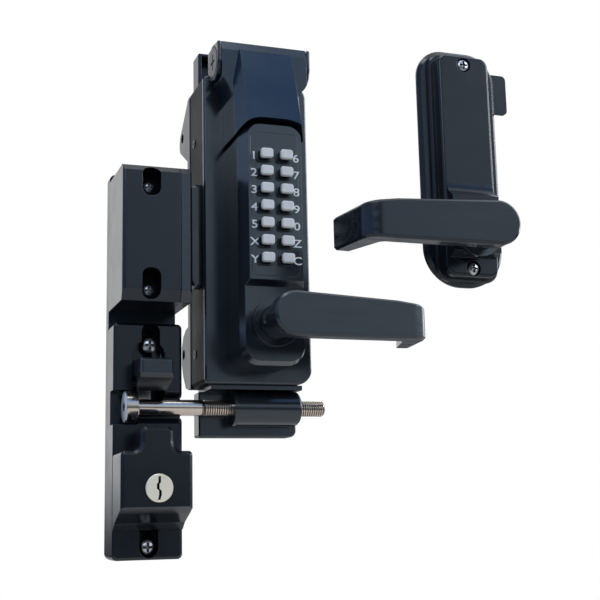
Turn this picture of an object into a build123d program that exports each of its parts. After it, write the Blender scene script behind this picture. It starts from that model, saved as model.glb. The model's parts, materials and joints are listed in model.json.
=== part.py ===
from build123d import *
import os

# Keyless gate lock: a post-side keeper, a gate-side lock with a keypad and lever, and
# the inside half, which stands in front and to the side here, facing the street.
# Millimetres. X runs from the keeper towards the gate hinges, Y into the gate,
# Z up. The origin is on the spindle axis, at the gate frame's front face.

# Gate and clearances
GATE_THICKNESS = 50.0
FIT = 0.05
SLIDE_GAP = 0.15

# Keeper, on the post
KEEPER_X = (-89.0, -46.0)
KEEPER_Z = (-138.6, 105.5)
PLATE_Y = -8.0
BODY_Y = -27.0
BODY_TOP = 5.5
BOX_Y = -54.0
BOX_Z = (15.0, 99.8)
BOX_SEAM_X = -52.7
MOUTH_Y = (-37.0, -21.0)
MOUTH_Z = (26.5, 97.0)
BOX_SCREW_X = -71.2
BOX_SCREW_Z = (22.6, 87.8)
BOX_SCREW_FLOOR = -43.0
POST_SCREWS = ((-65.9, -7.9), (-66.9, -131.2))
POST_SLOT_Z = (-7.5, -124.3)
POST_SLOT_FLOOR = -22.0

# Striker bolt and the jaw that takes it
BOLT_Y = -27.0
BOLT_Z = -47.0
BOLT_RADIUS = 5.0
BOLT_X = (-82.5, 47.0)
BOLT_HEAD_X = -74.6
BOLT_HEAD_RADIUS = 9.8
JAW_WALL_X = -74.0
CATCH_X = (-77.0, -57.2)
CATCH_MID = -67.1
SPRING_OFFSET = 10.2

# Key cylinder
KEY_X = -66.6
KEY_Z = -96.7
KEY_FLANGE = 8.3
BARREL_RADIUS = 8.0
PLUG_RADIUS = 6.0
CAM_ARM = 9.0

# Lock case, on the gate
CASE_X = (-35.0, 35.0)
CASE_Z = (-33.0, 167.0)
CASE_Y = -41.5
COVER_Y = -38.5
WALL = 3.0
BACK_PLATE_X = (-30.0, 30.0)
BACK_PLATE_Z = (-28.0, 185.0)
TONGUE_X = (-31.0, 31.0)
TONGUE_Y = -13.0
TONGUE_TOP = 193.7
BACK_PLATE_Y = -10.0
EAR_HOLES = ((12.0, -8.3), (14.0, 141.7))
EAR_HOLE_RADIUS = 3.25
EAR_X = (-35.4, -32.4)
EAR_BASE_Y = -6.0
SIDE_SCREW_Y = -17.0
SIDE_SCREW_Z = (-12.0, 128.0)

# Keypad body
PAD_X = (-21.0, 20.6)
PAD_Z = (-25.1, 127.0)
PAD_EDGE_Y = -69.0
LOWER_FACE_Y = -75.0
KEY_FACE_Y = -80.0
STEP_Z = 25.5
KEY_ROWS = 7
KEY_PITCH = 10.83
KEY_TOP_Z = 103.1
KEY_COLUMNS = (-7.0, 5.6)
KEY_SIZE = (7.8, 6.0)
KEY_TOP_Y = -86.6
BUTTON_NAMES = ("1", "2", "3", "4", "5", "x", "y", "6", "7", "8", "9", "0", "z", "c")

# Hood
HOOD_SCREW = (-50.3, 172.2)

# Levers and spindles
LEVER_RADIUS = 13.1
LEVER_MID_Z = -0.35
LEVER_END_X = (82.5, 88.0)
LEVER_RETURN = 29.0
LEVER_THICKNESS = 11.0
NECK_RADIUS = 10.5
SPINDLE = 8.0
LATCH_Z = (28.5, 95.5)
LATCH_Y = (-34.0, -24.0)
LATCH_TIP_X = -42.5
LATCH_PIN_ARM = 11.0

# Inside half: sizes from its own plate's back, and where it stands beside the lock
INSIDE_PLACE = (109.5, -110.0, 49.0)
INSIDE_SCREW_Z = (-20.0, 109.0)
INSIDE_PLATE = 4.0
INSIDE_FLANGE = 7.0
INSIDE_COVER = 14.0
INSIDE_HALF = 26.5
INSIDE_BLOCK = 21.0
POST_RADIUS = 4.0
POST_LENGTH = 38.0
BOLT_REACH = 20.0
BUSH_RADIUS = 14.7

os.makedirs("parts", exist_ok=True)


def block(x, y, z):
    """Box between a low and a high value on each axis."""
    size = (x[1] - x[0], y[1] - y[0], z[1] - z[0])
    return Pos((x[0] + x[1]) / 2, (y[0] + y[1]) / 2, (z[0] + z[1]) / 2) * Box(*size)


def rod_x(y, z, radius, x):
    """Round bar along X."""
    return Pos((x[0] + x[1]) / 2, y, z) * Rot(0, 90, 0) * Cylinder(radius, x[1] - x[0])


def rod_y(x, z, radius, y):
    """Round bar along Y."""
    return Pos(x, (y[0] + y[1]) / 2, z) * Rot(90, 0, 0) * Cylinder(radius, y[1] - y[0])


def rod_z(x, y, radius, z):
    """Round bar along Z."""
    return Pos(x, y, (z[0] + z[1]) / 2) * Cylinder(radius, z[1] - z[0])


def front_plane(y):
    """Plane facing the street, with its own axes along X and Z."""
    return Plane(origin=(0, y, 0), x_dir=(1, 0, 0), z_dir=(0, -1, 0))


def front_prism(outline, y, taper=0):
    """Outline drawn in X and Z, swept from y[1] out to y[0]."""
    return extrude(front_plane(y[1]) * outline, amount=y[1] - y[0], taper=taper)


def side_prism(outline, x):
    """Outline drawn in Y and Z, swept along X."""
    plane = Plane(origin=(x[0], 0, 0), x_dir=(0, 1, 0), z_dir=(1, 0, 0))
    return extrude(plane * outline, amount=x[1] - x[0])


def plan_prism(outline, z):
    """Outline drawn in X and Y, swept along Z."""
    return extrude(Plane.XY.offset(z[0]) * outline, amount=z[1] - z[0])


def polygon(*points):
    return make_face(Polyline(*points, close=True))


def rounded(x, z, radius):
    """Rounded rectangle between two values on each axis."""
    centre = Pos((x[0] + x[1]) / 2, (z[0] + z[1]) / 2)
    return centre * RectangleRounded(x[1] - x[0], z[1] - z[0], radius)


def upright_slot(x, z, width, length):
    """Round-ended slot standing on end."""
    return Pos(x, z) * Rot(0, 0, 90) * SlotOverall(length, width)


def front_edges(solid, y):
    """Edges that lie in the plane at y."""
    return solid.edges().filter_by_position(Axis.Y, y - 0.001, y + 0.001)


def pan_screw(x, z, floor_y, end_y, head_radius, shank_radius):
    """Domed screw driven along Y, with a cross recess in its head."""
    height = head_radius * 0.55
    profile = Polyline((0, 0), (head_radius, 0), (head_radius, height * 0.4))
    dome = ThreePointArc((head_radius, height * 0.4), (head_radius * 0.6, height * 0.87), (0, height))
    face = make_face(profile + dome + Line((0, height), (0, 0)))
    head = revolve(Plane.XZ * face, Axis.Z)
    arm = head_radius * 0.62
    slot = head_radius * 0.3
    recess = Box(2 * arm, slot, height) + Box(slot, 2 * arm, height)
    head -= Pos(0, 0, height) * recess
    return Pos(x, floor_y, z) * Rot(90, 0, 0) * head + rod_y(x, z, shank_radius, (floor_y, end_y))


# Keeper

def keeper_back_plate():
    plate = front_prism(rounded(KEEPER_X, KEEPER_Z, 4), (PLATE_Y, 0))
    for x, z in POST_SCREWS:
        plate -= rod_y(x, z, 2.5, (PLATE_Y, 0))
    return plate


def keeper_body():
    """Lower casting: screw slots, catch channel, bolt jaw and link pocket."""
    body = front_prism(rounded(KEEPER_X, (KEEPER_Z[0], BODY_TOP), 3), (BODY_Y, PLATE_Y))
    body = chamfer(front_edges(body, BODY_Y), 1.6)
    for (x, screw_z), z, length in zip(POST_SCREWS, (-9.5, -124.5), (30, 26)):
        body -= front_prism(upright_slot(x, z, 11.4, length), (BODY_Y, POST_SLOT_FLOOR))
    for (x, screw_z), z in zip(POST_SCREWS, POST_SLOT_Z):
        body -= front_prism(upright_slot(x, z, 5.6, 20), (BODY_Y, PLATE_Y))
    channel = 10.05 + SLIDE_GAP
    arch_z = -15.4
    body -= block((CATCH_MID - channel, CATCH_MID + channel), (BODY_Y, -16.6), (-42, arch_z))
    body -= rod_y(CATCH_MID, arch_z, channel, (BODY_Y, -16.6))
    flange = 12.6 + SLIDE_GAP
    body -= block((CATCH_MID - flange, CATCH_MID + flange), (-17.0, -12.4), (-43, -17))
    body -= rod_z(CATCH_MID + SPRING_OFFSET, -14.5, 2.4, (-20, -1))
    head_pocket = BOLT_HEAD_RADIUS + 0.7
    jaw_z = (BOLT_Z - head_pocket, BOLT_Z + head_pocket)
    body -= block((KEEPER_X[0], JAW_WALL_X), (BODY_Y, -16.3), jaw_z)
    channel_z = (BOLT_Z - 6.5, BOLT_Z + 6.5)
    body -= block((JAW_WALL_X, KEEPER_X[1]), (BODY_Y, -20.8), channel_z)
    lips = polygon((BODY_Y, BOLT_Z - 10), (-23.5, BOLT_Z - 6.5), (-23.5, BOLT_Z + 6.5), (BODY_Y, BOLT_Z + 10))
    body -= side_prism(lips, (JAW_WALL_X, KEEPER_X[1]))
    body -= block((-73.5, -52.1), (-12.9, PLATE_Y), (-105, -24))
    body -= rod_y(KEY_X, KEY_Z, 12, (-20, PLATE_Y))
    body -= rod_y(KEY_X, KEY_Z, BARREL_RADIUS, (BODY_Y, -20))
    return body


def box_outline():
    """Strike box seen from its side: bevelled above and below the front face."""
    low, high = BOX_Z
    front = [(BOX_Y, low + 7), (BOX_Y, high - 3.8), (BOX_Y + 3.5, high)]
    return polygon((PLATE_Y, low), (BOX_Y + 3.5, low), *front, (PLATE_Y, high))


def strike_box():
    """Hollow box on the back plate, with a driver slot above and below each screw."""
    box = side_prism(box_outline(), (KEEPER_X[0], BOX_SEAM_X))
    corner = box.edges().filter_by(Axis.Z).filter_by_position(Axis.X, KEEPER_X[0] - 0.1, KEEPER_X[0] + 0.1)
    box = fillet(corner.filter_by_position(Axis.Y, BOX_Y - 0.1, BOX_Y + 0.1), 2.0)
    seam = box.edges().filter_by_position(Axis.X, BOX_SEAM_X - 0.1, BOX_SEAM_X + 0.1)
    box = chamfer(seam.filter_by_position(Axis.Y, BOX_Y - 0.1, BOX_Y + 3.6), 0.35)
    box -= block((-84.5, -80.5), (-46, PLATE_Y), (25, 90))
    box -= block((-63, BOX_SEAM_X), (-46, PLATE_Y), (MOUTH_Z[0], MOUTH_Z[1]))
    low_slot = rounded((BOX_SCREW_X - 5.75, BOX_SCREW_X + 5.75), (16.2, 35.2), 5.2)
    high_slot = rounded((BOX_SCREW_X - 5.75, BOX_SCREW_X + 5.75), (80.3, 98.6), 5.2)
    for outline in (low_slot, high_slot):
        box -= front_prism(outline, (BOX_Y, BOX_SCREW_FLOOR))
    for z in BOX_SCREW_Z:
        box -= rod_y(BOX_SCREW_X, z, 2.0, (BOX_SCREW_FLOOR, PLATE_Y))
    return box


def strike_box_side():
    """Right-hand wall of the box, with the mouth that the latch enters."""
    side = side_prism(box_outline(), (BOX_SEAM_X, KEEPER_X[1]))
    corner = side.edges().filter_by(Axis.Z).filter_by_position(Axis.X, KEEPER_X[1] - 0.1, KEEPER_X[1] + 0.1)
    side = chamfer(corner.filter_by_position(Axis.Y, BOX_Y - 0.1, BOX_Y + 0.1), 1.2)
    side -= block((BOX_SEAM_X, KEEPER_X[1]), MOUTH_Y, MOUTH_Z)
    return side


def strike_box_screws():
    screws = [pan_screw(BOX_SCREW_X, z, BOX_SCREW_FLOOR, PLATE_Y, 3.7, 1.9) for z in BOX_SCREW_Z]
    return Compound(children=screws)


def keeper_post_screws():
    screws = [pan_screw(x, z, POST_SLOT_FLOOR, -0.4, 4.7, 2.4) for x, z in POST_SCREWS]
    return Compound(children=screws)


def key_housing():
    """T-shaped block: a stub that backs the bolt, over shoulders that hold the key cylinder."""
    stub = (-76.9, -57.7)
    top, shoulder, foot = -60.5, -75.0, -123.0
    left, right = KEEPER_X
    outline = polygon(
        (left, foot), (right, foot), (right, shoulder), (stub[1], shoulder),
        (stub[1], top), (stub[0], top), (stub[0], shoulder), (left, shoulder),
    )
    corners = outline.vertices()
    inner = corners.filter_by_position(Axis.Y, shoulder - 0.1, shoulder + 0.1)
    inner = inner.filter_by_position(Axis.X, stub[0] - 0.1, stub[1] + 0.1)
    outline = fillet(inner, 5.5)
    outer = outline.vertices().filter_by_position(Axis.Y, top - 0.1, top + 0.1)
    outline = fillet(outer, 3.5)
    ends = outline.vertices().filter_by_position(Axis.Y, shoulder - 0.1, shoulder + 0.1)
    outline = fillet(ends.sort_by(Axis.X)[:1] + ends.sort_by(Axis.X)[-1:], 2.5)
    housing = front_prism(outline, (BOX_Y, BODY_Y))
    housing = chamfer(front_edges(housing, BOX_Y), 2.0)
    below = polygon(
        (-60, -107.6), (BOX_Y, -107.6), (-46, -111.3), (-33, -116.6), (BODY_Y, -121), (BODY_Y, -130), (-60, -130)
    )
    housing -= side_prism(below, (left - 1, right + 1))
    housing -= rod_y(KEY_X, KEY_Z, BARREL_RADIUS, (BOX_Y, BODY_Y))
    return housing


def cylinder_barrel():
    """Fixed sleeve of the key cylinder."""
    barrel = rod_y(KEY_X, KEY_Z, BARREL_RADIUS, (BOX_Y, -20))
    return barrel - rod_y(KEY_X, KEY_Z, PLUG_RADIUS + FIT, (BOX_Y, -20))


def key_plug():
    """Turning plug, with the key slot and the square tail for the cam."""
    face = rod_y(KEY_X, KEY_Z, KEY_FLANGE, (BOX_Y - 1.4, BOX_Y - 0.1))
    face = chamfer(front_edges(face, BOX_Y - 1.4), 0.4)
    plug = face + rod_y(KEY_X, KEY_Z, PLUG_RADIUS, (BOX_Y - 0.1, -19.8))
    left_side = [(-0.7, 6.8), (-0.7, 3.4), (-1.6, 2.2), (-1.6, -0.4), (-0.3, -1.6), (-0.3, -4.0), (-1.0, -6.8)]
    right_side = [(x + 1.5, z) for x, z in reversed(left_side)]
    keyway = Pos(KEY_X, KEY_Z) * polygon(*left_side, *right_side)
    plug -= front_prism(keyway, (BOX_Y - 1.4, BOX_Y - 0.1))
    plug -= front_prism(keyway & Pos(KEY_X, KEY_Z) * Circle(5), (BOX_Y - 0.1, -30))
    plug += block((KEY_X - 2, KEY_X + 2), (-19.8, -15.6), (KEY_Z - 2, KEY_Z + 2))
    return plug


def release_cam():
    """Arm on the plug's tail, with the pin that lifts the catch link."""
    hub = rod_y(KEY_X, KEY_Z, 5, (-19.6, -15.6))
    arm = block((KEY_X - 3, KEY_X + 3), (-19.6, -15.6), (KEY_Z, KEY_Z + CAM_ARM - 1))
    cam = hub + arm + rod_y(KEY_X, KEY_Z + CAM_ARM - 1, 3, (-19.6, -15.6))
    cam -= block((KEY_X - 2, KEY_X + 2), (-19.6, -15.6), (KEY_Z - 2, KEY_Z + 2))
    return cam + rod_y(KEY_X, KEY_Z + CAM_ARM, 1.7, (-15.6, -9.4))


def catch_wedge():
    """Nose of the sprung catch: a flat front over a ramp, and a lip that drops before the bolt."""
    ramp = polygon((-33, -19.4), (-50.6, -19.4), (-52, -20.8), (-52, -28.4), (-50, -31.3), (-33, -37.3))
    wedge = side_prism(ramp, CATCH_X)
    front = wedge.edges().filter_by(Axis.Z).filter_by_position(Axis.Y, -52.1, -51.9)
    wedge = fillet(front, 1.5)
    return wedge - block((CATCH_X[0], -74.1), (-38, -33), (-38, -29.2))


def catch_guide():
    """Back of the catch: a slide between the channel's walls, with flanges that hold it in."""
    guide = block(CATCH_X, (-33, -26), (-31, -19.4))
    guide += block((CATCH_MID - 10.05, CATCH_MID + 10.05), (-26, -16.6), (-31, -19.4))
    guide += block((CATCH_MID - 12.6, CATCH_MID + 12.6), (-16.8, -12.6), (-33, -20.5))
    return guide - block((-80, -74.1), (-38, -16.9), (-40, -27.9))


def release_link():
    """Flat bar behind the jaw, from the catch down to the cam's pin."""
    bar = block((-71.5, -62.7), (-12.6, -9.6), (-84, -26))
    foot = block((-71.5, -52.7), (-12.6, -9.6), (-93.5, -81))
    window = block((-68.8, -55.3), (-13, -9), (KEY_Z + CAM_ARM - 2.2, KEY_Z + CAM_ARM + 4.2))
    return bar + foot - window


def catch_spring():
    """Spring above the catch's flange, as a plain sleeve."""
    x = CATCH_MID + SPRING_OFFSET
    return rod_z(x, -14.5, 1.9, (-20.4, -1.5)) - rod_z(x, -14.5, 1.4, (-20.4, -1.5))


# Lock case

def back_plate():
    """Plate between the case and the gate, with the tongue that shows above the case."""
    plate = front_prism(rounded(BACK_PLATE_X, BACK_PLATE_Z, 3), (BACK_PLATE_Y, 0))
    tongue = block(TONGUE_X, (TONGUE_Y, 0), (CASE_Z[1] + FIT, TONGUE_TOP))
    tongue = fillet(tongue.edges().filter_by(Axis.Y).group_by(Axis.Z)[-1], 1.2)
    plate += tongue
    pocket = (TONGUE_X[0] + 2.4, TONGUE_X[1] - 2.4)
    plate -= block(pocket, (TONGUE_Y, -3), (CASE_Z[1] + FIT, TONGUE_TOP - 1.8))
    plate -= rod_y(0, 0, 9, (BACK_PLATE_Y, 0))
    for z in INSIDE_SCREW_Z:
        plate -= rod_y(0, z, POST_RADIUS, (BACK_PLATE_Y, 0))
    return plate


def case_outline(inset):
    """Case seen from the front: square on the keeper side, rounded at the foot on the far side."""
    x = (CASE_X[0] + inset, CASE_X[1] - inset)
    z = (CASE_Z[0] + inset, CASE_Z[1] - inset)
    outline = polygon((x[0], z[0]), (x[1], z[0]), (x[1], z[1]), (x[0], z[1]))
    outline = fillet(outline.vertices().sort_by(Axis.X)[-2:], 10 - inset)
    return fillet(outline.vertices().sort_by(Axis.X)[:2], 3.2 - inset)


def case_body():
    body = front_prism(case_outline(0), (COVER_Y, 0))
    body -= front_prism(case_outline(WALL), (COVER_Y, -12))
    body -= block(BACK_PLATE_X, (BACK_PLATE_Y, 0), (BACK_PLATE_Z[0], CASE_Z[1]))
    body -= block((CASE_X[0], EAR_X[1]), (EAR_BASE_Y, 0), (-33, 163.5))
    body -= rod_y(0, 0, 9, (-12, BACK_PLATE_Y))
    for z in INSIDE_SCREW_Z:
        body -= rod_y(0, z, POST_RADIUS, (-12, BACK_PLATE_Y))
    slot_y = (LATCH_Y[0] - SLIDE_GAP, LATCH_Y[1] + SLIDE_GAP)
    slot_z = (LATCH_Z[0] - SLIDE_GAP, LATCH_Z[1] + SLIDE_GAP)
    body -= block((CASE_X[0], CASE_X[0] + WALL), slot_y, slot_z)
    for z in SIDE_SCREW_Z:
        body -= rod_x(SIDE_SCREW_Y, z, 2.9, (CASE_X[0] - 1, CASE_X[0] + 0.8))
        body -= rod_x(SIDE_SCREW_Y, z, 1.4, (CASE_X[0], CASE_X[0] + WALL))
    return body


def case_cover():
    """Front plate of the case, with the opening behind the keypad body."""
    cover = front_prism(case_outline(0), (CASE_Y, COVER_Y))
    cover = chamfer(front_edges(cover, CASE_Y), 1.0)
    return cover - front_prism(pad_outline(3.1), (CASE_Y, COVER_Y))


def edge_ears():
    """Strip let into the case's keeper side, with two ears that lap the gate frame's edge."""
    strip = polygon((EAR_BASE_Y, -33), (0, -33), (0, 163.5), (EAR_BASE_Y, 163.5))
    upper = polygon((-1, 120.5), (-1, 163), (20, 145), (22, 141), (22, 136), (20, 133))
    upper = fillet(upper.vertices().sort_by(Axis.X)[2:], 2)
    lower = polygon((-1, -33), (7, -31), (14, -22), (17.5, -14), (17.5, -3), (13, 4), (6, 7.5), (-1, 8.5))
    ears = side_prism(strip + upper + lower, EAR_X)
    for y, z in EAR_HOLES:
        ears -= rod_x(y, z, EAR_HOLE_RADIUS, (-40, -30))
    return ears


def latch_outline():
    """Latch plate with the foot that hangs down to the lever's pin."""
    low, high = LATCH_Z
    tip = LATCH_TIP_X
    plate = polygon((tip, low), (-8, low), (-8, high), (tip, high))
    plate = fillet(plate.vertices().sort_by(Axis.X)[:2], 5)
    return plate + Pos(-10, (low + 15) / 2) * Rectangle(8, low - 15) + polygon((-14, 3), (7, 3), (7, 16), (-14, 16))


def latch_bolt():
    bolt = front_prism(latch_outline(), LATCH_Y)
    tip = bolt.edges().filter_by(Axis.Z).filter_by_position(Axis.X, LATCH_TIP_X - 0.1, LATCH_TIP_X + 0.1)
    bolt = chamfer(tip, 1.5)
    bolt -= block((-2.5, 2.5), LATCH_Y, (LATCH_PIN_ARM - 5.8, LATCH_PIN_ARM + 2.6))
    return bolt - block((-24, -8), (-32, -26), (56, 68))


def latch_case():
    """Guide box screwed behind the case's mouth, with a post that backs the spring."""
    gap = SLIDE_GAP
    low, high = LATCH_Z
    case = block((-31.9, 5), (COVER_Y, LATCH_Y[1] + 4), (low - 4, high + 4))
    case -= block((-32, 2), (LATCH_Y[0] - gap, LATCH_Y[1] + gap), (low - gap, high + gap))
    case -= block((-14.6, 2), (LATCH_Y[0] - gap, LATCH_Y[1] + gap), (low - 5, low))
    return case + block((-15.4, 3), (-30, -28), (60, 64))


def latch_spring():
    spring = rod_x(-29, 62, 2.8, (-15, 1.5)) - rod_x(-29, 62, 2.3, (-15, 1.5))
    return spring


def case_side_screws():
    """Flat-headed screws in the case's keeper side."""
    screws = []
    x = CASE_X[0]
    y = SIDE_SCREW_Y
    for z in SIDE_SCREW_Z:
        head = rod_x(y, z, 2.9, (x - 0.5, x + 0.8))
        head -= block((x - 1, x - 0.1), (y - 0.4, y + 0.4), (z - 2, z + 2))
        head -= block((x - 1, x - 0.1), (y - 2, y + 2), (z - 0.4, z + 0.4))
        screws.append(head + rod_x(y, z, 1.4, (x + 0.8, x + WALL)))
    return Compound(children=screws)


def bolt_bracket():
    """Arm under the case with the barrel that carries the striker bolt."""
    outline = polygon((-33.4, -64.5), (31.2, -64.5), (31.2, -36), (-33.4, -36))
    outline = fillet(outline.vertices().sort_by(Axis.X)[-2:], 4.2)
    outline = fillet(outline.vertices().sort_by(Axis.X)[:2], 1.2)
    web = chamfer(front_edges(front_prism(outline, (-19, -7)), -19), 0.8)
    web += block((-30, 30), (-19, -7), (-44, -36))
    web += block((-30, 30), (-36, -5), (-36, CASE_Z[0]))
    barrel_x = (-14.6, 29.6)
    barrel = rod_x(BOLT_Y, BOLT_Z, 10.6, barrel_x)
    barrel = chamfer(barrel.edges().filter_by_position(Axis.X, barrel_x[1] - 0.1, barrel_x[1] + 0.1), 1.2)
    barrel += rod_x(BOLT_Y, BOLT_Z, 11.4, (barrel_x[0], barrel_x[0] + 2))
    saddle = block((-12.6, 28.4), (BOLT_Y, -18), (BOLT_Z - 10.6, BOLT_Z + 10.6))
    bracket = web + barrel + saddle
    bracket -= rod_x(BOLT_Y, BOLT_Z, BOLT_RADIUS + FIT, (-40, 40))
    return bracket


def striker_bolt():
    """Headed bar that drops behind the catch, with a ring groove before its thread."""
    head = rod_x(BOLT_Y, BOLT_Z, BOLT_HEAD_RADIUS, (BOLT_X[0], BOLT_HEAD_X))
    head = chamfer(head.edges().filter_by(GeomType.CIRCLE), 0.8)
    shank = rod_x(BOLT_Y, BOLT_Z, BOLT_RADIUS, (BOLT_HEAD_X, BOLT_X[1]))
    shank = chamfer(shank.edges().filter_by_position(Axis.X, BOLT_X[1] - 0.1, BOLT_X[1] + 0.1), 1.0)
    groove = rod_x(BOLT_Y, BOLT_Z, 7, (-34, -32.6)) - rod_x(BOLT_Y, BOLT_Z, 4.2, (-34, -32.6))
    hexagon = Pos(BOLT_X[0] + 2, BOLT_Y, BOLT_Z) * Rot(0, 90, 0) * extrude(RegularPolygon(3, 6), 4, both=True)
    return head + shank - groove - hexagon


def pad_outline(inset=0):
    x = (PAD_X[0] + inset, PAD_X[1] - inset)
    z = (PAD_Z[0] + inset, PAD_Z[1] - inset)
    return rounded(x, z, 12 - inset)


def keypad_body():
    """Raised body with bevelled edges, cut back to a lower face where the lever stands."""
    body = front_prism(pad_outline(), (PAD_EDGE_Y, CASE_Y))
    body += front_prism(pad_outline(), (KEY_FACE_Y, PAD_EDGE_Y), taper=18.6)
    front = KEY_FACE_Y - 1
    step = polygon((front, -30), (LOWER_FACE_Y, -30), (LOWER_FACE_Y, STEP_Z - 3.2), (KEY_FACE_Y, STEP_Z), (front, STEP_Z))
    body -= side_prism(step, (-30, 30))
    body += front_prism(pad_outline(3.1), (CASE_Y, COVER_Y))
    body -= front_prism(rounded((-15.8, 15.0), (28, 118), 4), (KEY_FACE_Y, -78.5))
    body -= block((-13.3, 12.5), (-78.5, -60), (31, 113))
    return body - rod_y(0, 0, 6.5, (LOWER_FACE_Y, COVER_Y))


def key_places():
    """Name, X and Z of each button, down the left column and then the right."""
    places = []
    for index, name in enumerate(BUTTON_NAMES):
        column = index // KEY_ROWS
        z = KEY_TOP_Z - KEY_PITCH * (index % KEY_ROWS)
        places.append((name, KEY_COLUMNS[column], z))
    return places


def key_rectangle(x, z, margin, radius):
    width, height = KEY_SIZE
    half = (width / 2 + margin, height / 2 + margin)
    return rounded((x - half[0], x + half[0]), (z - half[1], z + half[1]), radius)


def keypad_plate():
    """Face plate with a raised collar around each button."""
    plate = front_prism(rounded((-15.8, 15.0), (28, 118), 4), (KEY_FACE_Y, -78.5))
    for name, x, z in key_places():
        plate += front_prism(key_rectangle(x, z, 0.9, 1.8), (KEY_FACE_Y - 1.2, -78.5))
    for name, x, z in key_places():
        plate -= front_prism(key_rectangle(x, z, -0.4, 0.9), (KEY_FACE_Y - 2, -78))
    return plate


def button(x, z):
    """Rounded cap on a narrower neck, the flange that keeps it in and the stem behind."""
    cap = front_prism(key_rectangle(x, z, 0, 1.6), (KEY_TOP_Y, KEY_TOP_Y + 2.6))
    cap = chamfer(front_edges(cap, KEY_TOP_Y), 0.6)
    neck = front_prism(key_rectangle(x, z, -0.55, 0.8), (KEY_TOP_Y + 2.6, -78.4))
    flange = front_prism(key_rectangle(x, z, 0.3, 0.7), (-78.4, -77.4))
    return cap + neck + flange + rod_y(x, z, 1.2, (-77.4, -66.5))


def code_chamber():
    """Block behind the buttons with a bore for each stem and its spring."""
    chamber = block((-13.2, 12.4), (-73, -60), (31.1, 112.9))
    for name, x, z in key_places():
        chamber -= rod_y(x, z, 1.3, (-73, -63))
        chamber -= rod_y(x, z, 2.6, (-73, -71.5))
    return chamber


def button_springs():
    springs = []
    for name, x, z in key_places():
        springs.append(rod_y(x, z, 2.4, (-74.8, -71.5)) - rod_y(x, z, 1.9, (-74.8, -71.5)))
    return Compound(children=springs)


def hood_end(radius, top):
    """End of the hood's band seen from the side: round below, square above."""
    centre_y, centre_z = HOOD_SCREW
    square = rounded((centre_y - radius, centre_y + radius), (centre_z - 4, top), 2)
    return square + Pos(centre_y, centre_z) * Circle(radius)


def hood():
    """Shelter over the keys: a band across the case's top and a shield that slopes out to an arch."""
    end_x, seam_x, band_x = 31.0, 29.2, 28.3
    band = polygon((-44, 159.5), (-63, 159.5), (-63, 177), (-60.5, 183.3), (-38.5, 183.3), (-36, 181), (-36, 159.5))
    hood_body = side_prism(band, (-band_x, band_x))
    hollow = make_face(
        ThreePointArc((-band_x, 158.6), (-25.2, 154.6), (-21.0, 143.0))
        + Polyline((-21.0, 143.0), (-20, 143.0), (-20, 160), (-band_x, 160), (-band_x, 158.6))
    )
    for corner in (hollow, mirror(hollow, Plane.YZ)):
        hood_body += front_prism(corner, (-63, -42))
    for side in (-1, 1):
        seam = sorted((side * band_x, side * seam_x))
        end = sorted((side * seam_x, side * end_x))
        hood_body += side_prism(hood_end(11.2, 182.3), seam)
        cap = side_prism(hood_end(12.2, 183.3), end)
        cap = chamfer(cap.edges().filter_by_position(Axis.X, side * end_x - 0.01, side * end_x + 0.01), 0.7)
        hood_body += cap - rod_x(*HOOD_SCREW, 10.4, sorted((side * (end_x - 0.7), side * end_x)))
    levels = (
        (177.4, 17.6, -63.6, 17.1, -64.8),
        (157.0, 21.5, -63.5, 17.3, -71.6),
        (111.0, 22.4, -71.0, 17.0, -86.7),
    )
    sections = []
    for z, edge_x, edge_y, face_x, face_y in levels:
        plan = polygon(
            (-edge_x, CASE_Y), (-edge_x, edge_y), (-face_x, face_y),
            (face_x, face_y), (edge_x, edge_y), (edge_x, CASE_Y),
        )
        sections.append(Plane.XY.offset(z) * plan)
    hood_body += loft(sections, ruled=True)
    crown = Spline((-23, 113.5), (-20.9, 120.8), (-14, 126.0), (0, 127.4), (14, 126.0), (20.9, 120.8), (23, 113.5))
    arch = make_face(crown + Polyline((23, 113.5), (23, 105), (-23, 105), (-23, 113.5)))
    hood_body -= front_prism(arch, (-95, -40))
    hood_body -= block((-40, 40), (CASE_Y, 5), (100, CASE_Z[1]))
    return hood_body - keypad_body()


def hood_screws():
    """Wide flat screws in the hood's ends, with a cross recess."""
    screws = []
    y, z = HOOD_SCREW
    for side in (-1, 1):
        head = rod_x(y, z, 9.8, sorted((30.3 * side, 31.2 * side)))
        arms = sorted((30.6 * side, 32 * side))
        head -= block(arms, (y - 4.4, y + 4.4), (z - 0.8, z + 0.8))
        head -= block(arms, (y - 0.8, y + 0.8), (z - 5.2, z + 5.2))
        screws.append(head)
    return Compound(children=screws)


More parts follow.
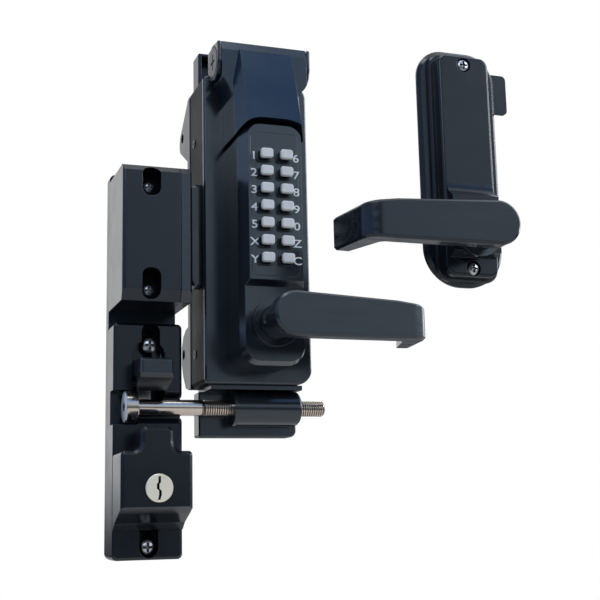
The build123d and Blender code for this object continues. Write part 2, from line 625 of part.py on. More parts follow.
def lever(hub_y, out, back):
    """Lever for one side: round end on the axis, flat bar and an end that bends back to the door."""
    def at(distance):
        return hub_y + out * distance

    face = back + LEVER_THICKNESS
    corner, tip = LEVER_END_X
    plan = polygon(
        (-LEVER_RADIUS, at(back)), (-LEVER_RADIUS, at(face)), (corner, at(face)), (tip, at(back - LEVER_RETURN)),
        (tip - 9, at(back - LEVER_RETURN)), (corner - 12, at(back)),
    )
    ends = plan.vertices()
    plan = fillet(ends.filter_by_position(Axis.X, corner - 0.1, corner + 0.1), 10.5)
    plan = fillet(plan.vertices().filter_by_position(Axis.X, corner - 12.1, corner - 11.9), 5)
    front = polygon((0, 12.75), (64, 9.4), (tip + 1, 6.2), (tip + 1, -12.9), (64, -13.45), (0, -13.45))
    front += Pos(0, LEVER_MID_Z) * Circle(LEVER_RADIUS)
    span = sorted((at(face), at(back - LEVER_RETURN - 1)))
    bar = plan_prism(plan, (-15, 15)) & front_prism(front, span)
    bar = chamfer(bar.edges().filter_by_position(Axis.Y, at(face) - 0.001, at(face) + 0.001), 1.4)
    neck = rod_y(0, 0, NECK_RADIUS, sorted((at(0.1), at(back))))
    bar += neck
    bar -= rod_x(at(back * 0.4), 0, 2.6, (-12, -3))
    return bar - block((-SPINDLE / 2, SPINDLE / 2), sorted((at(0), at(back + 3))), (-SPINDLE / 2, SPINDLE / 2))


def set_screw(hub_y, out, back):
    y = hub_y + out * back * 0.4
    screw = rod_x(y, 0, 2.5, (-10.2, -SPINDLE / 2 - 0.1))
    hexagon = Pos(-10.2, y, 0) * Rot(0, 90, 0) * extrude(RegularPolygon(1.4, 6), 2.4, both=True)
    return screw - hexagon


def spindle(y):
    half = SPINDLE / 2
    return block((-half, half), y, (-half, half))


def bush(hub_y, out, sleeve):
    """Flanged guide that the lever's neck stands in."""
    ring = rod_y(0, 0, BUSH_RADIUS, sorted((hub_y, hub_y + 3 * out))) - rod_y(0, 0, NECK_RADIUS + 0.1, (-200, 200))
    tube = rod_y(0, 0, 6.4, sorted((hub_y, hub_y - sleeve * out))) - rod_y(0, 0, 5.75, (-200, 200))
    floor = rod_y(0, 0, NECK_RADIUS + 1, sorted((hub_y, hub_y + 0.05 * out)))
    return ring + tube + (floor - rod_y(0, 0, 5.75, (-200, 200)))


def retractor_cam():
    """Disc on the inside spindle's end, with the pin that draws the latch."""
    disc = rod_y(0, 0, 15, (-23.5, -18))
    disc -= block((-40, 40), (-24, -17), (-20, -6)) - rod_y(0, 0, 9, (-30, 0))
    disc -= block((-SPINDLE / 2, SPINDLE / 2), (-24, -17), (-SPINDLE / 2, SPINDLE / 2))
    return disc + rod_y(0, LATCH_PIN_ARM, 2.0, (-33.2, -23.5))


# Inside half, drawn as it is mounted: its plate's back at y = 0 and its front along +Y

def inside_plate():
    """Back plate of the inside half, with a bevelled rim and a lug on the keeper side."""
    half = INSIDE_HALF
    outline = polygon((-half, -29.5), (half, -29.5), (half, 121.5), (-half, 121.5))
    outline = fillet(outline.vertices().sort_by(Axis.Y)[:2], 24)
    outline = fillet(outline.vertices().sort_by(Axis.Y)[-2:], 18)
    plate = front_prism(outline, (0, INSIDE_PLATE))
    plate = chamfer(front_edges(plate, INSIDE_PLATE), 2.2)
    plate += front_prism(rounded((-half - 9.5, -half + 5), (84, 110), 3), (0, INSIDE_PLATE - 2.2))
    plate -= rod_y(0, 0, 6.6, (0, INSIDE_PLATE))
    for z in INSIDE_SCREW_Z:
        plate -= rod_y(0, z, 2.7, (0, INSIDE_PLATE))
    return plate


def inside_cover():
    """Cover on a base flange, with the raised block that the inside lever turns on."""
    face = INSIDE_COVER
    flange = front_prism(rounded((-20.8, 20.8), (-27, 118), 9), (INSIDE_PLATE, INSIDE_FLANGE))
    flange = chamfer(front_edges(flange, INSIDE_FLANGE), 1.2)
    cover = front_prism(rounded((-17.3, 17.3), (-25, 115), 6), (INSIDE_PLATE, face))
    cover = flange + fillet(front_edges(cover, face), 2)
    top, foot = (face + 7, 23.5), (face, 34)
    raised = make_face(
        ThreePointArc(top, (face + 2.3, 27), foot)
        + Polyline(foot, (face - 1, 34), (face - 1, -14), (face + 7, -11), top)
    )
    cover += side_prism(raised, (-15.5, 15.5))
    cover -= rod_y(0, 0, 6.5, (0, face + 8))
    for z in INSIDE_SCREW_Z:
        cover -= rod_y(0, z, 2.7, (0, face + 1))
        cover -= rod_y(0, z, 4.6, (face - 2, face + 1))
    return cover


def through_bolts():
    """Two screws that clamp the inside half to the posts on the case."""
    length = INSIDE_COVER - 2 + BOLT_REACH
    bolts = [pan_screw(0, z, 0, length, 4.2, 2.45) for z in INSIDE_SCREW_Z]
    return Pos(0, INSIDE_COVER - 2, 0) * Rot(0, 0, 180) * Compound(children=bolts)


def through_posts():
    posts = []
    for z in INSIDE_SCREW_Z:
        posts.append(rod_y(0, z, POST_RADIUS, (-12, POST_LENGTH)) - rod_y(0, z, 2.5, (-12, POST_LENGTH)))
    return Compound(children=posts)


def beside(shape):
    """Moves a piece of the inside half to its place beside the lock, turned to face the street."""
    return Pos(*INSIDE_PLACE) * Rot(0, 0, 180) * shape


parts = {
    "keeper_back_plate": keeper_back_plate(),
    "keeper_body": keeper_body(),
    "keeper_post_screws": keeper_post_screws(),
    "strike_box": strike_box(),
    "strike_box_side": strike_box_side(),
    "strike_box_screws": strike_box_screws(),
    "key_housing": key_housing(),
    "cylinder_barrel": cylinder_barrel(),
    "key_plug": key_plug(),
    "release_cam": release_cam(),
    "catch_wedge": catch_wedge(),
    "catch_guide": catch_guide(),
    "release_link": release_link(),
    "catch_spring": catch_spring(),
    "striker_bolt": striker_bolt(),
    "bolt_bracket": bolt_bracket(),
    "back_plate": back_plate(),
    "case_body": case_body(),
    "case_cover": case_cover(),
    "case_side_screws": case_side_screws(),
    "edge_ears": edge_ears(),
    "latch_bolt": latch_bolt(),
    "latch_case": latch_case(),
    "latch_spring": latch_spring(),
    "keypad_body": keypad_body(),
    "keypad_plate": keypad_plate(),
    "code_chamber": code_chamber(),
    "button_springs": button_springs(),
    "hood": hood(),
    "hood_screws": hood_screws(),
    "outside_bush": bush(LOWER_FACE_Y, -1, 23),
    "outside_lever": lever(LOWER_FACE_Y, -1, 29),
    "outside_set_screw": set_screw(LOWER_FACE_Y, -1, 29),
    "outside_spindle": spindle((LOWER_FACE_Y - 31, -36)),
    "through_posts": through_posts(),
    "inside_spindle": spindle((-23.5, GATE_THICKNESS + INSIDE_BLOCK + 14)),
    "retractor_cam": retractor_cam(),
    "inside_plate": beside(inside_plate()),
    "inside_cover": beside(inside_cover()),
    "through_bolts": beside(through_bolts()),
    "inside_bush": beside(bush(INSIDE_BLOCK, 1, 15)),
    "inside_lever": beside(lever(INSIDE_BLOCK, 1, 18)),
    "inside_set_screw": beside(set_screw(INSIDE_BLOCK, 1, 18)),
}
for name, x, z in key_places():
    parts["button_" + name] = button(x, z)

for name, shape in parts.items():
    export_step(shape, "parts/" + name + ".step")
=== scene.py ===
import json
import math

import bmesh
import bpy
from mathutils import Matrix, Vector

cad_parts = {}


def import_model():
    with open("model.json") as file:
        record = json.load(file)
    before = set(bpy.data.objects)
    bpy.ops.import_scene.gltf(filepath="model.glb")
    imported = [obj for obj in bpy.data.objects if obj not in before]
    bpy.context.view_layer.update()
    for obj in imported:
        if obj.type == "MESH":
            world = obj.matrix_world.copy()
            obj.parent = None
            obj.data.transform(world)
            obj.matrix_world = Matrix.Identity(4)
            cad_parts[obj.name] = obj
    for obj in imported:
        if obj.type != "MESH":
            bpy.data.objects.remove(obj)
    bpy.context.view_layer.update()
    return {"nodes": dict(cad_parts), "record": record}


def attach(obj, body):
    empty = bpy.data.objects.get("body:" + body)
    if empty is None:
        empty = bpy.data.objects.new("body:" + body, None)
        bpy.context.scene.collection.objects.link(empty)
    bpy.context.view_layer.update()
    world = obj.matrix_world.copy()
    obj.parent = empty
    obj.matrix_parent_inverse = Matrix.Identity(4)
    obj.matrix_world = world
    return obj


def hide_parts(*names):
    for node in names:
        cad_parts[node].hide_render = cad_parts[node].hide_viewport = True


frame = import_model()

NODES = frame["nodes"]
MM = 0.001

# Axis of the striker bolt, which runs along X, and the radii between which
# the painted shade in its thread roots gives way to bright zinc, in metres
BOLT_Y, BOLT_Z = -0.027, -0.047
ROOT_SHADE_RADII = (0.0041, 0.0047)

# Shape of the striker bolt: positions along X, radii and pitch in mm
SEGMENTS = 48
RINGS_PER_TURN = 8
HIDDEN_STEPS = 5
HEAD_FACE = -82.5
END_FACE_DEPTH = 0.4
SOCKET_FLOOR = -78.5
SOCKET_CORNER = 3.0
HEAD_PROFILE = ((-82.5, 9.0), (-82.3, 9.45), (-81.8, 9.8), (-75.3, 9.8), (-74.8, 9.5), (-74.6, 9.0))
SHANK_PROFILE = ((-74.6, 5.2), (-74.4, 5.0), (-34.4, 5.0), (-34.0, 4.3), (-33.0, 4.2))
TIP_PROFILE = ((46.2, 4.6), (47.0, 4.0))
THREAD_X = (-32.6, 46.0)
THREAD_PITCH = 1.5
THREAD_CREST = 4.95
THREAD_ROOT = 4.1
FLANK_SLOPE = 3.4
HIDDEN_IN_BARREL = (-13, 28)

# Labels: seven rows in two columns, outside the two columns of buttons, in mm but for the widening
ROWS = 7
LABEL_COLUMNS = (-13.8, 13.3)
LABEL_TOP = 102.5
LABEL_STEP = 10.83
LABEL_FACE = -80.05
LABEL_SIZE = 7.0
LABEL_THICKNESS = 0.06
LABEL_BOLDNESS = 0.08
LABEL_WIDENING = 1.25

# Rays for each soft edge and each recess, tint of a coat's sheen, and the painted shade in the metals'
# recesses
RAY_SAMPLES = 6
SHEEN_TINT = (0.84, 0.93, 1.0, 1)
# Near-black of the painted shade in the metals' recesses
RECESS_SHADE = (0.02, 0.02, 0.02)

# Y in metres between which a button changes from its grey cap to its black neck, whose black is also painted
# shade on the button's sides
CAP_BACK = (-0.0846, -0.0840)

# Screw pockets that get painted shade, in mm: each node's front and floor in Y, and each pocket's left,
# right, low and high limit
POCKETS = {
    "strike_box": (-53.9, -42.9, ((-77.0, -65.4, 16.1, 35.3), (-77.0, -65.4, 80.2, 98.7))),
    "keeper_body": (-26.9, -21.9, ((-71.7, -60.1, -24.6, 5.6), (-72.7, -61.1, -137.6, -111.4))),
}

# Studio: the room's colours by direction, and the floor's colours, radius and place in metres
GROUND = (0.06, 0.06, 0.07)
FRONT = (0.14, 0.18, 0.23)
FRONT_RIGHT = (0.98, 1.12, 1.26)
LEFT_SIDE = (0.36, 0.50, 0.78)
UPPER_FRONT = (0.27, 0.49, 0.92)
BACKDROP = (0.86, 0.94, 1.0)
WHITE = (1.0, 1.0, 1.0)
FLOOR_TONES = ((0.61, 0.555, 0.49), (0.67, 0.61, 0.545))
FLOOR_RADIUS = 1.9
FLOOR_PLACE = (0, 0.05, -0.40)

# Camera, fitted to the photograph: angles in degrees, place in metres, focal length in pixels
CAMERA_ANGLES = (19.7, 10.65, -1.27)
CAMERA_PLACE = (-0.2153, -0.7208, -0.1142)
FOCAL_PIXELS = 1145
IMAGE_PIXELS = 600
SENSOR = 36


# Shader nodes

def material(name):
    mat = bpy.data.materials.new(name)
    mat.use_nodes = True
    tree = mat.node_tree
    return mat, tree, tree.nodes["Principled BSDF"]


def noise(tree, scale, detail=3.0, stretch=(1, 1, 1)):
    """Noise in object space; a stretch below 1 draws it out along that axis."""
    coords = tree.nodes.new("ShaderNodeTexCoord")
    mapping = tree.nodes.new("ShaderNodeMapping")
    mapping.inputs["Scale"].default_value = stretch
    node = tree.nodes.new("ShaderNodeTexNoise")
    node.inputs["Scale"].default_value = scale
    node.inputs["Detail"].default_value = detail
    node.inputs["Roughness"].default_value = 0.5
    tree.links.new(coords.outputs["Object"], mapping.inputs["Vector"])
    tree.links.new(mapping.outputs["Vector"], node.inputs["Vector"])
    return node.outputs["Fac"]


def ramp(tree, source, start, end, low=0.0, high=1.0):
    """Value that goes from low to high while the source goes from start to end."""
    node = tree.nodes.new("ShaderNodeMapRange")
    node.inputs["From Min"].default_value = start
    node.inputs["From Max"].default_value = end
    node.inputs["To Min"].default_value = low
    node.inputs["To Max"].default_value = high
    tree.links.new(source, node.inputs["Value"])
    return node.outputs["Result"]


def spread(tree, source, limits):
    """Noise stretched over the middle of its range, between two limits."""
    return ramp(tree, source, 0.3, 0.7, *limits)


def mix_colors(tree, factor, first, second):
    """Mix of two colours, each given as a tuple or as another node's output."""
    node = tree.nodes.new("ShaderNodeMix")
    node.data_type = "RGBA"
    tree.links.new(factor, node.inputs["Factor"])
    for socket, value in (("A", first), ("B", second)):
        if isinstance(value, tuple):
            node.inputs[socket].default_value = (*value, 1)
        else:
            tree.links.new(value, node.inputs[socket])
    return node.outputs["Result"]


def bump(tree, height, strength, distance, edge=0.0):
    """Surface relief, over edges softened by a small radius."""
    node = tree.nodes.new("ShaderNodeBump")
    node.inputs["Strength"].default_value = strength
    node.inputs["Distance"].default_value = distance
    tree.links.new(height, node.inputs["Height"])
    if edge:
        soft = tree.nodes.new("ShaderNodeBevel")
        soft.samples = RAY_SAMPLES
        soft.inputs["Radius"].default_value = edge
        tree.links.new(soft.outputs["Normal"], node.inputs["Normal"])
    return node.outputs["Normal"]


def math_node(tree, operation, first, second):
    node = tree.nodes.new("ShaderNodeMath")
    node.operation = operation
    tree.links.new(first, node.inputs[0])
    tree.links.new(second, node.inputs[1])
    return node.outputs["Value"]


# Materials

def coat_material(name, tones, rough, peel=0.25, gloss=0.6, streak=(1, 1, 1)):
    """Powder coat: a fine orange peel under a bluish sheen, with slow changes of tone."""
    mat, tree, shader = material(name)
    tone = noise(tree, scale=35 / min(streak), detail=4, stretch=streak)
    fine = noise(tree, scale=1500, detail=2)
    normal = bump(tree, fine, strength=peel, distance=0.00006, edge=0.0005)
    tree.links.new(mix_colors(tree, tone, *tones), shader.inputs["Base Color"])
    tree.links.new(spread(tree, tone, rough), shader.inputs["Roughness"])
    tree.links.new(normal, shader.inputs["Normal"])
    shader.inputs["Specular IOR Level"].default_value = gloss
    shader.inputs["Specular Tint"].default_value = SHEEN_TINT
    return mat


def metal_material(name, tones, rough, scratch=0.3, crevice=0.0012, open_share=0.85):
    """Bare metal with fine scratches, with painted shade in its recesses."""
    mat, tree, shader = material(name)
    tone = noise(tree, scale=120, detail=5)
    fine = noise(tree, scale=2600, detail=3)
    # Painted shade: ambient occlusion darkens the colour towards near-black in the recesses
    opening = tree.nodes.new("ShaderNodeAmbientOcclusion")
    opening.inputs["Distance"].default_value = crevice
    opening.samples = RAY_SAMPLES
    unshaded = ramp(tree, opening.outputs["AO"], open_share - 0.3, open_share)
    color = mix_colors(tree, unshaded, RECESS_SHADE, mix_colors(tree, tone, *tones))
    normal = bump(tree, fine, strength=scratch, distance=0.00003, edge=0.0002)
    tree.links.new(color, shader.inputs["Base Color"])
    tree.links.new(spread(tree, fine, rough), shader.inputs["Roughness"])
    tree.links.new(normal, shader.inputs["Normal"])
    shader.inputs["Metallic"].default_value = 1.0
    return mat


def bolt_material():
    """Plated bolt: bright shank and crests, thread roots painted dark as shade, and turning marks round it.
    """
    mat, tree, shader = material("bolt_zinc")
    coords = tree.nodes.new("ShaderNodeTexCoord")
    across = tree.nodes.new("ShaderNodeVectorMath")
    across.operation = "MULTIPLY_ADD"
    across.inputs[1].default_value = (0, 1, 1)
    across.inputs[2].default_value = (0, -BOLT_Y, -BOLT_Z)
    tree.links.new(coords.outputs["Object"], across.inputs[0])
    radius = tree.nodes.new("ShaderNodeVectorMath")
    radius.operation = "LENGTH"
    tree.links.new(across.outputs["Vector"], radius.inputs[0])
    crest = ramp(tree, radius.outputs["Value"], *ROOT_SHADE_RADII)
    marks = noise(tree, scale=900, stretch=(1, 0.06, 0.06))
    zinc = mix_colors(tree, marks, (0.50, 0.44, 0.38), (0.68, 0.60, 0.53))
    # Painted shade: near-black in the thread roots, fading to zinc towards the crests
    color = mix_colors(tree, crest, (0.06, 0.055, 0.05), zinc)
    normal = bump(tree, marks, strength=0.2, distance=0.00002)
    tree.links.new(color, shader.inputs["Base Color"])
    tree.links.new(spread(tree, marks, (0.1, 0.2)), shader.inputs["Roughness"])
    tree.links.new(normal, shader.inputs["Normal"])
    shader.inputs["Metallic"].default_value = 1.0
    return mat


def button_material():
    """Grey cap on a black neck: the two are one piece, and change at the cap's back. The black is the neck's
    own colour and painted shade on the sides.
    """
    mat, tree, shader = material("grey_cap")
    tone = noise(tree, scale=400, detail=4)
    coords = tree.nodes.new("ShaderNodeTexCoord")
    axes = tree.nodes.new("ShaderNodeSeparateXYZ")
    tree.links.new(coords.outputs["Object"], axes.inputs["Vector"])
    neck = ramp(tree, axes.outputs["Y"], *CAP_BACK)
    plastic = mix_colors(tree, tone, (0.45, 0.455, 0.46), (0.53, 0.535, 0.54))
    # Black behind the cap's front: the neck's colour, and painted shade on the button's sides
    color = mix_colors(tree, neck, plastic, (0.012, 0.013, 0.015))
    normal = bump(tree, tone, strength=0.2, distance=0.00005, edge=0.0004)
    tree.links.new(color, shader.inputs["Base Color"])
    tree.links.new(spread(tree, tone, (0.4, 0.52)), shader.inputs["Roughness"])
    tree.links.new(normal, shader.inputs["Normal"])
    return mat


BLACK = ((0.005, 0.007, 0.010), (0.010, 0.013, 0.018))
# Colours of the black coat's darker copies, which are painted shade
CASE_SHADED_BLACK = ((0.005, 0.007, 0.010), (0.009, 0.012, 0.017))
KEEPER_INSIDE_SHADED_BLACK = ((0.004, 0.005, 0.007), (0.008, 0.010, 0.014))
LEVER_BLACK = ((0.004, 0.005, 0.008), (0.011, 0.014, 0.020))
# Black coat tinted blue on the hood and the edge pieces: painted reflection of the bluish room
HOOD_REFLECTION_BLUE = ((0.003, 0.008, 0.017), (0.005, 0.012, 0.024))
EDGE_REFLECTION_BLUE = ((0.004, 0.009, 0.018), (0.007, 0.014, 0.026))
# Near-black of the painted shade in the screw pockets
POCKET_SHADE_BLACK = ((0.002, 0.002, 0.003), (0.004, 0.004, 0.005))
ZINC_GREY = ((0.42, 0.43, 0.45), (0.55, 0.56, 0.58))
DULL_ZINC = ((0.34, 0.35, 0.38), (0.45, 0.46, 0.49))
LEVER_STREAK = (0.12, 1, 1)

COAT = coat_material("black_coat", BLACK, rough=(0.15, 0.25), gloss=0.82)
# Darker and duller copies of the black coat: painted shade on the case body, the keeper parts and the inside
# unit
CASE_SHADED_COAT = coat_material("case_shaded_coat", CASE_SHADED_BLACK, rough=(0.4, 0.5), peel=0.3, gloss=0.06)
KEEPER_SHADED_COAT = coat_material("keeper_shaded_coat", KEEPER_INSIDE_SHADED_BLACK, rough=(0.15, 0.25), gloss=0.5)
INSIDE_SHADED_COAT = coat_material("inside_shaded_coat", KEEPER_INSIDE_SHADED_BLACK, rough=(0.15, 0.25), gloss=0.36)
HOOD_COAT = coat_material("hood_coat", HOOD_REFLECTION_BLUE, rough=(0.16, 0.24), gloss=0.66)
EDGE_COAT = coat_material("edge_coat", EDGE_REFLECTION_BLUE, rough=(0.16, 0.26), gloss=0.3)
POCKET_SHADE_COAT = coat_material("pocket_shade_coat", POCKET_SHADE_BLACK, rough=(0.6, 0.7), gloss=0.06)
INK = coat_material("label_ink", ((0.55, 0.57, 0.58), (0.72, 0.74, 0.75)), rough=(0.5, 0.65), peel=0.2)
LEVER_COAT = coat_material("lever_coat", LEVER_BLACK, rough=(0.13, 0.29), peel=0.2, gloss=0.72,
                           streak=LEVER_STREAK)
# Duller copy of the lever coat: painted shade on the inside lever
INSIDE_LEVER_SHADED = coat_material("inside_lever_shaded_coat", LEVER_BLACK, rough=(0.13, 0.29), peel=0.2, gloss=0.45,
                             streak=LEVER_STREAK)
STEEL = metal_material("stainless", ((0.36, 0.34, 0.32), (0.44, 0.42, 0.40)), rough=(0.18, 0.32))
DARK = metal_material("dark_steel", ((0.05, 0.055, 0.065), (0.08, 0.085, 0.10)), rough=(0.3, 0.45))
BRASS = metal_material("brass", ((0.55, 0.40, 0.18), (0.66, 0.50, 0.25)), rough=(0.25, 0.4))
NICKEL = metal_material("nickel", ((0.82, 0.75, 0.60), (0.92, 0.86, 0.72)), rough=(0.42, 0.54),
                        crevice=0.003, open_share=0.9)
SCREW = metal_material("screw_zinc", ZINC_GREY, rough=(0.26, 0.36), crevice=0.0024, open_share=0.95)
BOX_SCREW = metal_material("box_screw_zinc", DULL_ZINC, rough=(0.3, 0.4), crevice=0.0016, open_share=0.95)
BOLT_FACE = metal_material("bolt_head_face", ((0.62, 0.66, 0.72), (0.72, 0.76, 0.82)), rough=(0.5, 0.6),
                           scratch=0.4)
BOLT = bolt_material()
CAP = button_material()

SLOT_MATERIALS = {
    "black_coat": COAT,
    "steel": STEEL,
    "dark_steel": DARK,
    "nickel": NICKEL,
    "brass": BRASS,
    "grey_cap": CAP,
}
OWN_FINISH_AND_SHADE = {
    "hood": HOOD_COAT,
    "case_body": CASE_SHADED_COAT,
    "keeper_body": KEEPER_SHADED_COAT,
    "key_housing": KEEPER_SHADED_COAT,
    "strike_box": KEEPER_SHADED_COAT,
    "keeper_back_plate": EDGE_COAT,
    "back_plate": EDGE_COAT,
    "edge_ears": EDGE_COAT,
    "inside_cover": INSIDE_SHADED_COAT,
    "inside_plate": INSIDE_SHADED_COAT,
    "inside_lever": INSIDE_LEVER_SHADED,
    "outside_lever": LEVER_COAT,
    "keeper_post_screws": SCREW,
    "strike_box_screws": BOX_SCREW,
    "through_bolts": SCREW,
    "outside_set_screw": SCREW,
    "inside_set_screw": SCREW,
}
SLOT_OF = {entry["node"]: entry["material_slot"] for entry in frame["record"]["subparts"]}


def dress_nodes():
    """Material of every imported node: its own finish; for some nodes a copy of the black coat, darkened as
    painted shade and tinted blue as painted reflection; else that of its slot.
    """
    for node, obj in NODES.items():
        obj.data.materials.clear()
        obj.data.materials.append(OWN_FINISH_AND_SHADE.get(node, SLOT_MATERIALS[SLOT_OF[node]]))


def paint_pocket_shade():
    """Painted shade: a dull near-black coat on the walls and floors of the screw pockets."""
    for node, (front, back, pockets) in POCKETS.items():
        mesh = NODES[node].data
        mesh.materials.append(POCKET_SHADE_COAT)
        for polygon in mesh.polygons:
            corners = [mesh.vertices[i].co / MM for i in polygon.vertices]
            for left, right, low, high in pockets:
                inside = all(left < p.x < right and low < p.z < high and p.y < back for p in corners)
                if inside and polygon.center.y / MM > front:
                    polygon.material_index = 1


dress_nodes()
paint_pocket_shade()


# Labels

def label(text, x, y, z, size, body="lock"):
    curve = bpy.data.curves.new("label_" + text, "FONT")
    curve.body = text
    curve.size = size
    curve.extrude = LABEL_THICKNESS * MM
    curve.offset = LABEL_BOLDNESS * MM
    curve.align_x = "CENTER"
    curve.align_y = "CENTER"
    obj = bpy.data.objects.new("label_" + text, curve)
    bpy.context.scene.collection.objects.link(obj)
    upright = Matrix.Rotation(math.radians(90), 4, "X")
    obj.matrix_world = Matrix.Translation((x, y, z)) @ upright @ Matrix.Diagonal((LABEL_WIDENING, 1, 1, 1))
    curve.materials.append(INK)
    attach(obj, body)


for index, text in enumerate("12345XY67890ZC"):
    column, row = divmod(index, ROWS)
    label_z = LABEL_TOP - LABEL_STEP * row
    label(text, LABEL_COLUMNS[column] * MM, LABEL_FACE * MM, label_z * MM, LABEL_SIZE * MM)


# Striker bolt

def ring_mesh(name, rings):
    """Closed surface through rings of points, all with the same count, capped at both ends."""
    mesh = bpy.data.meshes.new(name)
    bm = bmesh.new()
    loops = [[bm.verts.new(point) for point in ring] for ring in rings]
    for near, far in zip(loops, loops[1:]):
        for i in range(len(near)):
            j = (i + 1) % len(near)
            bm.faces.new((near[i], near[j], far[j], far[i]))
    bm.faces.new(list(reversed(loops[0])))
    bm.faces.new(loops[-1])
    bmesh.ops.recalc_face_normals(bm, faces=bm.faces)
    bm.to_mesh(mesh)
    bm.free()
    obj = bpy.data.objects.new(name, mesh)
    bpy.context.scene.collection.objects.link(obj)
    return obj


def bolt_ring(x, radius):
    """Ring across the bolt; radius is a number, or a function of the turn."""
    ring = []
    for i in range(SEGMENTS):
        turn = 2 * math.pi * i / SEGMENTS
        r = radius(turn) if callable(radius) else radius
        ring.append((x * MM, BOLT_Y + r * MM * math.cos(turn), BOLT_Z + r * MM * math.sin(turn)))
    return ring


def hexagon(turn):
    return SOCKET_CORNER * math.cos(math.pi / 6) / math.cos(turn % (math.pi / 3) - math.pi / 6)


def thread_radius(x):
    def radius(turn):
        phase = (x / THREAD_PITCH - turn / (2 * math.pi)) % 1.0
        rise = min(1.0, FLANK_SLOPE * min(phase, 1 - phase))
        return THREAD_ROOT + (THREAD_CREST - THREAD_ROOT) * rise
    return radius


def striker_bolt():
    """Headed bolt with a hex socket and a thread, with fewer rings where the barrel hides it at rest."""
    rings = [bolt_ring(SOCKET_FLOOR, hexagon), bolt_ring(HEAD_FACE, hexagon)]
    rings += [bolt_ring(x, radius) for x, radius in HEAD_PROFILE + SHANK_PROFILE]
    step = THREAD_PITCH / RINGS_PER_TURN
    x = THREAD_X[0]
    while x < THREAD_X[1]:
        rings.append(bolt_ring(x, thread_radius(x)))
        hidden = HIDDEN_IN_BARREL[0] <= x <= HIDDEN_IN_BARREL[1]
        x += HIDDEN_STEPS * step if hidden else step
    rings += [bolt_ring(x, radius) for x, radius in TIP_PROFILE]
    bolt = ring_mesh("striker_bolt_threaded", rings)
    bolt.data.materials.append(BOLT)
    bolt.data.materials.append(BOLT_FACE)
    thread_start = SHANK_PROFILE[-1][0] * MM
    face_edge = (HEAD_FACE + END_FACE_DEPTH) * MM
    for polygon in bolt.data.polygons:
        polygon.use_smooth = polygon.center.x < thread_start
        polygon.material_index = int(polygon.center.x < face_edge)
    bolt.data.set_sharp_from_angle(angle=math.radians(25))
    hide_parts("striker_bolt")
    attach(bolt, "striker_bolt")


striker_bolt()


# Stage, light and camera

def area_light(name, place, target, size, power, color):
    data = bpy.data.lights.new(name, "AREA")
    data.shape = "RECTANGLE"
    data.size, data.size_y = size
    data.energy = power
    data.color = color
    obj = bpy.data.objects.new(name, data)
    direction = Vector(target) - Vector(place)
    obj.matrix_world = Matrix.Translation(place) @ direction.to_track_quat("-Z", "Y").to_matrix().to_4x4()
    bpy.context.scene.collection.objects.link(obj)


def floor():
    mesh = bpy.data.meshes.new("floor")
    bm = bmesh.new()
    bmesh.ops.create_circle(bm, cap_ends=True, segments=96, radius=FLOOR_RADIUS)
    bm.to_mesh(mesh)
    bm.free()
    obj = bpy.data.objects.new("floor", mesh)
    obj.location = FLOOR_PLACE
    bpy.context.scene.collection.objects.link(obj)
    mat, tree, shader = material("floor_paint")
    tree.links.new(mix_colors(tree, noise(tree, scale=8), *FLOOR_TONES), shader.inputs["Base Color"])
    shader.inputs["Roughness"].default_value = 0.9
    mesh.materials.append(mat)


def soft_ramp(tree, source, start, end):
    result = ramp(tree, source, start, end)
    result.node.interpolation_type = "SMOOTHSTEP"
    return result


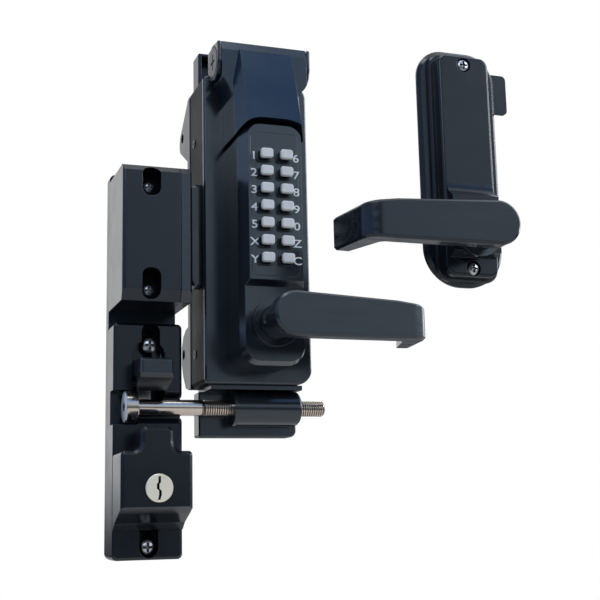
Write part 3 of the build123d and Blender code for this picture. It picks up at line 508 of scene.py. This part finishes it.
def world():
    """Room seen by direction, with white for the camera and behind the object in its reflections.

    The room has a white ceiling, a blue upper front, a light right side, a bluish left side,
    a pale backdrop and a dark ground.
    """
    scene = bpy.context.scene
    scene.world = bpy.data.worlds.new("studio")
    scene.world.use_nodes = True
    tree = scene.world.node_tree
    tree.nodes.clear()
    coords = tree.nodes.new("ShaderNodeTexCoord")
    axes = tree.nodes.new("ShaderNodeSeparateXYZ")
    tree.links.new(coords.outputs["Generated"], axes.inputs["Vector"])
    x, y, z = (axes.outputs[axis] for axis in "XYZ")

    upper_front = math_node(tree, "MULTIPLY", soft_ramp(tree, z, 0.3, 0.7), soft_ramp(tree, y, 0.0, -0.35))
    behind = soft_ramp(tree, y, 0.6, 0.9)
    horizon = soft_ramp(tree, z, -0.03, 0.08)
    room = mix_colors(tree, soft_ramp(tree, x, -0.1, 0.45), FRONT, FRONT_RIGHT)
    room = mix_colors(tree, soft_ramp(tree, x, -0.45, -0.75), room, LEFT_SIDE)
    room = mix_colors(tree, soft_ramp(tree, z, -0.12, 0.28), GROUND, room)
    room = mix_colors(tree, upper_front, room, UPPER_FRONT)
    room = mix_colors(tree, soft_ramp(tree, z, 0.83, 0.92), room, WHITE)
    room = mix_colors(tree, behind, room, mix_colors(tree, horizon, GROUND, BACKDROP))

    path = tree.nodes.new("ShaderNodeLightPath")
    backdrop_side = math_node(tree, "MULTIPLY", behind, horizon)
    mirrored = math_node(tree, "MULTIPLY", path.outputs["Is Glossy Ray"], backdrop_side)
    seen = math_node(tree, "MAXIMUM", path.outputs["Is Camera Ray"], path.outputs["Is Transmission Ray"])
    lit = tree.nodes.new("ShaderNodeBackground")
    tree.links.new(room, lit.inputs["Color"])
    white = tree.nodes.new("ShaderNodeBackground")
    white.inputs["Color"].default_value = (*WHITE, 1)
    mix = tree.nodes.new("ShaderNodeMixShader")
    out = tree.nodes.new("ShaderNodeOutputWorld")
    tree.links.new(math_node(tree, "MAXIMUM", seen, mirrored), mix.inputs["Fac"])
    tree.links.new(lit.outputs["Background"], mix.inputs[1])
    tree.links.new(white.outputs["Background"], mix.inputs[2])
    tree.links.new(mix.outputs["Shader"], out.inputs["Surface"])


def camera():
    yaw, pitch, roll = (math.radians(angle) for angle in CAMERA_ANGLES)
    ahead = Vector((math.sin(yaw) * math.cos(pitch), math.cos(yaw) * math.cos(pitch), math.sin(pitch)))
    level = Vector((math.cos(yaw), -math.sin(yaw), 0))
    above = level.cross(ahead)
    right = level * math.cos(roll) + above * math.sin(roll)
    up = above * math.cos(roll) - level * math.sin(roll)
    data = bpy.data.cameras.new("camera")
    data.sensor_width = SENSOR
    data.lens = SENSOR * FOCAL_PIXELS / IMAGE_PIXELS
    obj = bpy.data.objects.new("camera", data)
    turn = Matrix((right, up, -ahead)).transposed().to_4x4()
    obj.matrix_world = Matrix.Translation(CAMERA_PLACE) @ turn
    bpy.context.scene.collection.objects.link(obj)
    bpy.context.scene.camera = obj


floor()
world()
camera()
area_light("key", (1.05, -0.75, 0.65), (0, 0, 0.03), size=(0.5, 0.5), power=8, color=(0.96, 0.98, 1.0))
area_light("fill", (-0.55, -1.2, 0.8), (-0.03, 0, 0.08), size=(0.8, 0.6), power=5, color=(0.88, 0.94, 1.0))
area_light("overhead", (-0.1, -0.35, 1.1), (0, -0.03, 0.1), size=(0.6, 0.4), power=3, color=(0.9, 0.95, 1.0))
area_light("rim", (1.2, 0.25, 0.5), (0, -0.03, 0.05), size=(0.3, 0.9), power=4, color=WHITE)
bpy.context.scene.view_settings.view_transform = "Standard"
